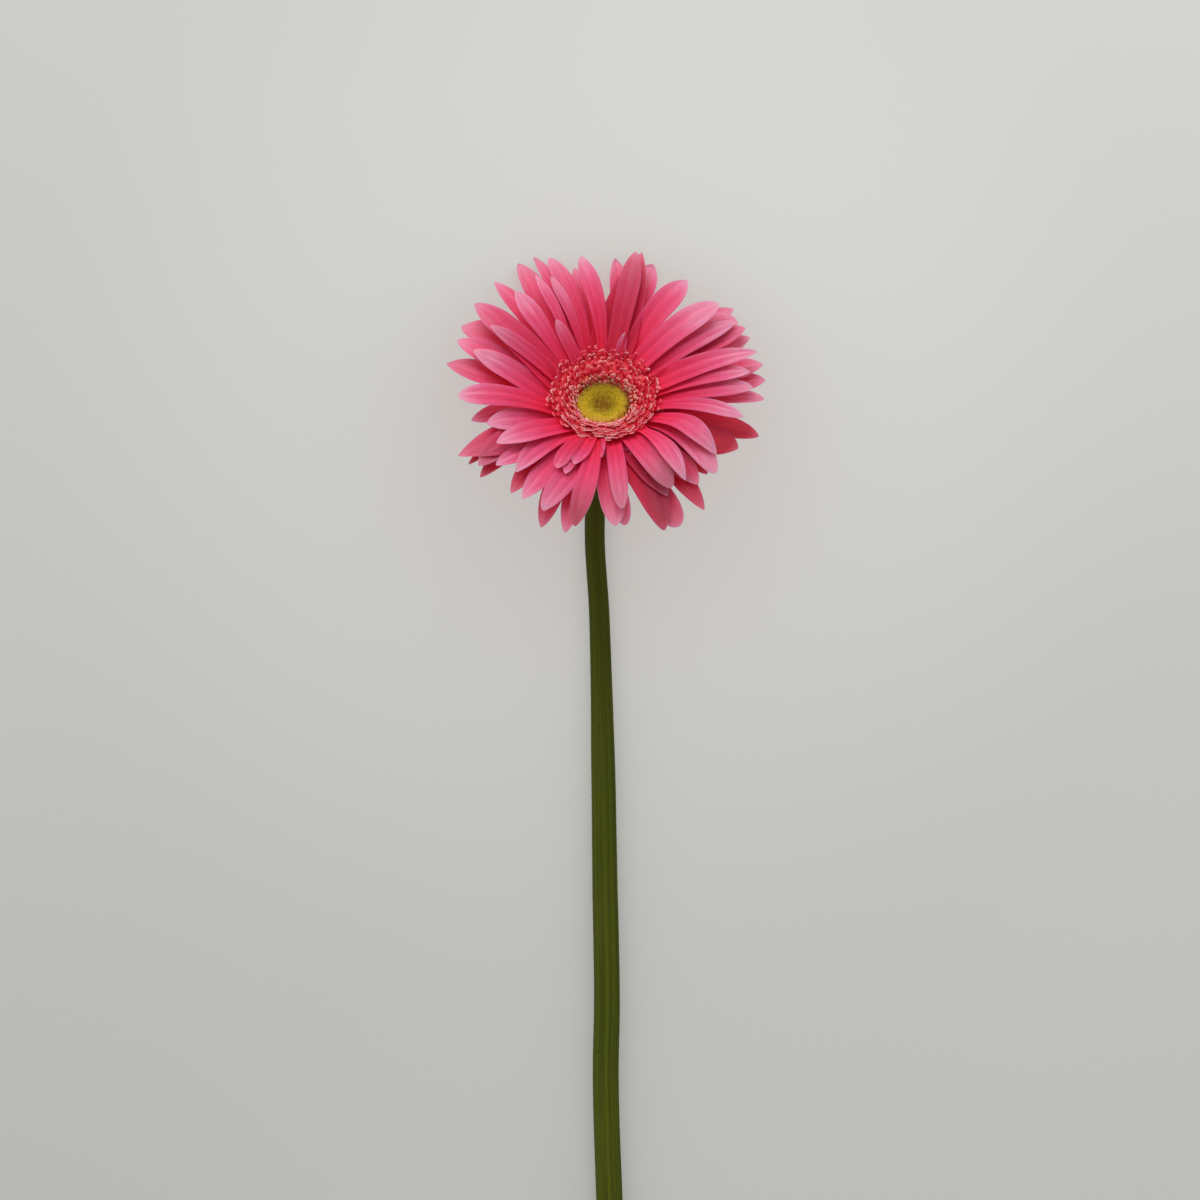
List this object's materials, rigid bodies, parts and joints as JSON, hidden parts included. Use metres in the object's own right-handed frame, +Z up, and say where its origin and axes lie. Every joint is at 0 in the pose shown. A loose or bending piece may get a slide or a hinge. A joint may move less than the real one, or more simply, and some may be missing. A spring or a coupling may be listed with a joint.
{
  "type": "cut gerbera",
  "caption": "Cut gerbera lying on its side: a pink daisy-like head with overlapping petals and a yellow-green eye, on a long bent green stem.",
  "frame": {"origin": "on the table, at the middle of the flower's footprint", "axes": "+Z up from the table, +Y along the stem from its cut end towards the head, +X to the right when seen from above with the head at the top"},
  "size_m": [0.1002, 0.3952, 0.0634],
  "materials": {
    "petal": "matte, velvety petal, deep crimson at the root and pale pink at the tip, with fine lengthwise streaks",
    "florets": "matte pink-red florets with pale curled tips, cream towards the middle",
    "buds": "matte olive yellow, closely packed buds",
    "bracts": "matte green scales with a fine pale fuzz",
    "stem": "matte dark green, faintly ribbed and covered with short fine hairs"
  },
  "bodies": {
    "root": {"disc_buds": "buds", "disc_florets": "florets", "petal_back_1": "petal", "petal_back_2": "petal", "petal_back_3": "petal", "petal_back_4": "petal", "petal_back_5": "petal", "petal_back_6": "petal", "petal_back_7": "petal", "petal_back_8": "petal", "petal_back_9": "petal", "petal_back_10": "petal", "petal_back_11": "petal", "petal_fifth_1": "petal", "petal_fifth_2": "petal", "petal_fifth_3": "petal", "petal_fifth_4": "petal", "petal_fifth_5": "petal", "petal_fifth_6": "petal", "petal_fifth_7": "petal", "petal_fifth_8": "petal", "petal_fifth_9": "petal", "petal_fourth_1": "petal", "petal_fourth_2": "petal", "petal_fourth_3": "petal", "petal_fourth_4": "petal", "petal_fourth_5": "petal", "petal_fourth_6": "petal", "petal_fourth_7": "petal", "petal_fourth_8": "petal", "petal_fourth_9": "petal", "petal_front_1": "petal", "petal_front_2": "petal", "petal_front_3": "petal", "petal_front_4": "petal", "petal_front_5": "petal", "petal_front_6": "petal", "petal_front_7": "petal", "petal_front_8": "petal", "petal_front_9": "petal", "petal_front_10": "petal", "petal_second_1": "petal", "petal_second_2": "petal", "petal_second_3": "petal", "petal_second_4": "petal", "petal_second_5": "petal", "petal_second_6": "petal", "petal_second_7": "petal", "petal_second_8": "petal", "petal_second_9": "petal", "petal_second_10": "petal", "petal_second_11": "petal", "petal_second_12": "petal", "petal_second_13": "petal", "petal_second_14": "petal", "petal_third_1": "petal", "petal_third_2": "petal", "petal_third_3": "petal", "receptacle_and_bracts": "bracts", "stem": "stem"}
  },
  "joints": []
}
